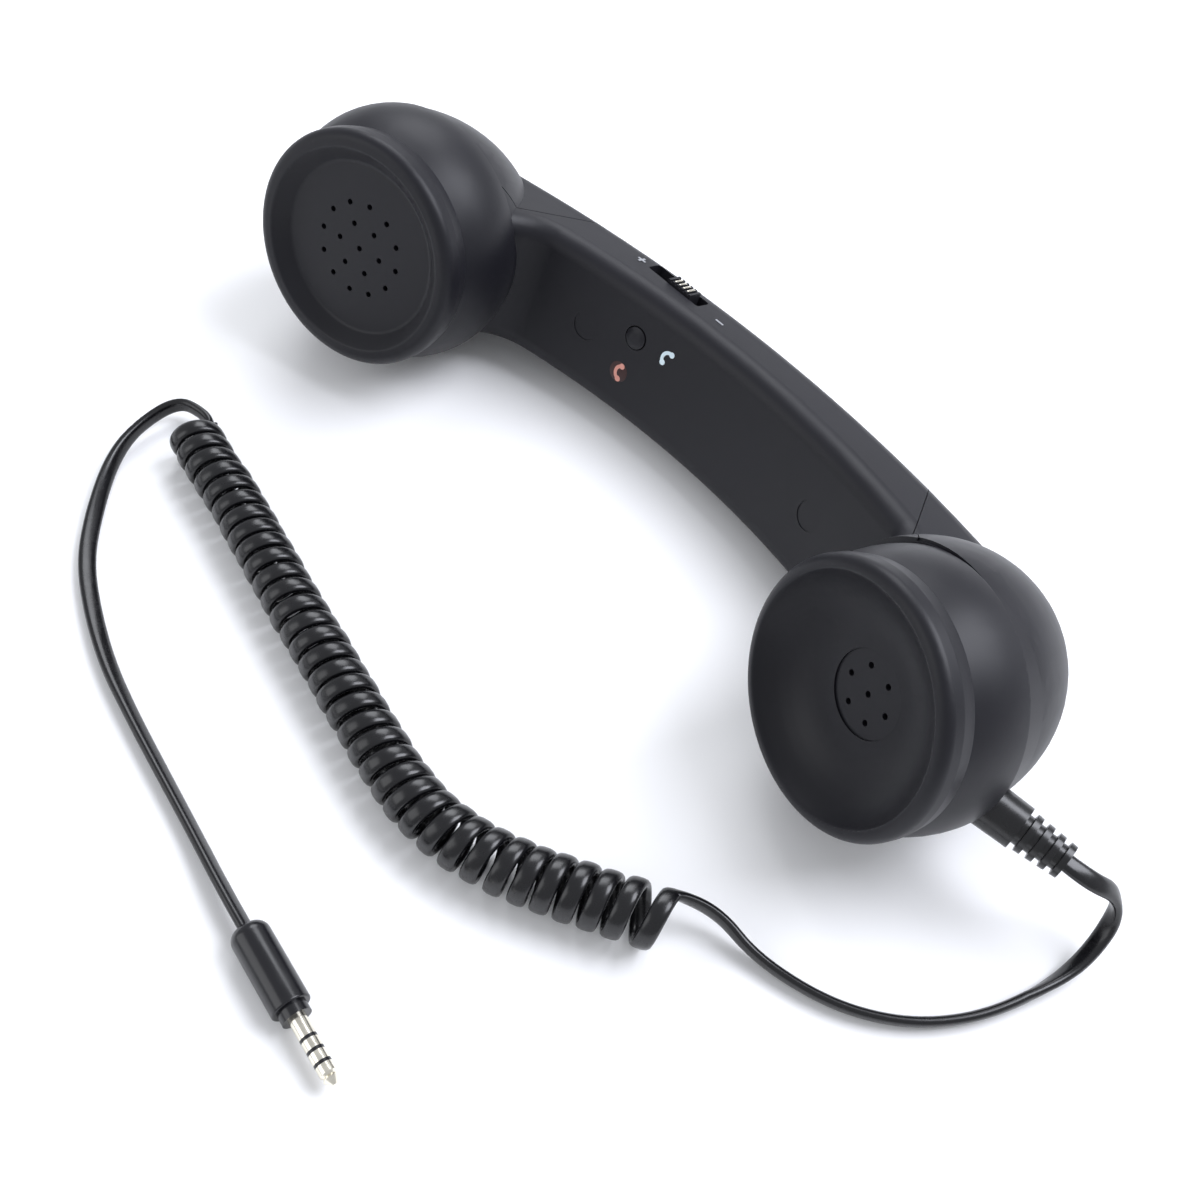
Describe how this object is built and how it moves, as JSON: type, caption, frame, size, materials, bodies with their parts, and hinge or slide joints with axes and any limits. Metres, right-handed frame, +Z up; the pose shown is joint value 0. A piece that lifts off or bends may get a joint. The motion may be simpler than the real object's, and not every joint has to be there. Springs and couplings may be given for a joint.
{
  "type": "telephone handset",
  "caption": "Retro telephone handset for a mobile phone: arched grip, round ear and mouth cups, call button, volume slide, curly cord and 3.5 mm plug.",
  "frame": {"origin": "on the surface it rests on, under the middle of the handset's footprint without the cord and plug", "axes": "+X from the ear end to the mouth end, +Z up; the ear and mouth faces look towards -Y and a little upwards"},
  "size_m": [0.2619, 0.177, 0.0631],
  "materials": {
    "soft_touch_black": "soft-touch black",
    "gloss_black": "smooth black moulding",
    "black_rubber": "soft black rubber",
    "cord_black": "glossy black flexible jacket",
    "white_inlay": "white",
    "red_inlay": "red",
    "black_cloth": "fine woven screen",
    "board_green": "solder mask",
    "zinc_steel": "zinc plated",
    "weight_steel": "plain steel",
    "silver_contact": "nickel plated",
    "cone_paper": "pressed film",
    "magnet_steel": "plated"
  },
  "bodies": {
    "handset": {"answer_icon": "white_inlay", "back_shell": "soft_touch_black", "balance_weight": "weight_steel", "board_screws": "zinc_steel", "circuit_board": "board_green", "cord_coil": "cord_black", "cord_tail_handset": "cord_black", "cord_tail_plug": "cord_black", "ear_cap": "soft_touch_black", "ear_cloth": "black_cloth", "ear_gasket": "black_rubber", "ear_retainer": "gloss_black", "ear_screws": "zinc_steel", "front_shell": "soft_touch_black", "hang_up_icon": "red_inlay", "mic_boot": "black_rubber", "mic_capsule": "magnet_steel", "mic_cloth": "black_cloth", "mic_lead": "cord_black", "minus_mark": "white_inlay", "mouth_cap": "soft_touch_black", "plug_band_1": "gloss_black", "plug_band_2": "gloss_black", "plug_band_3": "gloss_black", "plug_barrel": "gloss_black", "plug_collar": "gloss_black", "plug_ring_1": "silver_contact", "plug_ring_2": "silver_contact", "plug_sleeve": "silver_contact", "plug_tip": "silver_contact", "plus_mark": "white_inlay", "screw_cover_ear_side": "soft_touch_black", "screw_cover_mouth_side": "soft_touch_black", "shell_screws": "zinc_steel", "slide_pot": "magnet_steel", "speaker_cone": "cone_paper", "speaker_frame": "gloss_black", "speaker_lead": "cord_black", "speaker_magnet": "magnet_steel", "strain_relief": "black_rubber", "switch_body": "gloss_black", "weight_screws": "zinc_steel"},
    "button": {"call_button": "soft_touch_black", "switch_stem": "gloss_black"},
    "slide": {"volume_knob": "soft_touch_black", "slide_lever": "gloss_black"}
  },
  "joints": [
    {"name": "button_press", "type": "slide", "parent": "handset", "child": "button", "axis": [-0.1354, 0.9257, -0.3531], "range_m": [0, 0.0006], "stiffness_N_per_m": 800},
    {"name": "volume_slide", "type": "slide", "parent": "handset", "child": "slide", "axis": [1, 0.0051, -0.0019], "range_m": [-0.0064, 0.0028]}
  ]
}
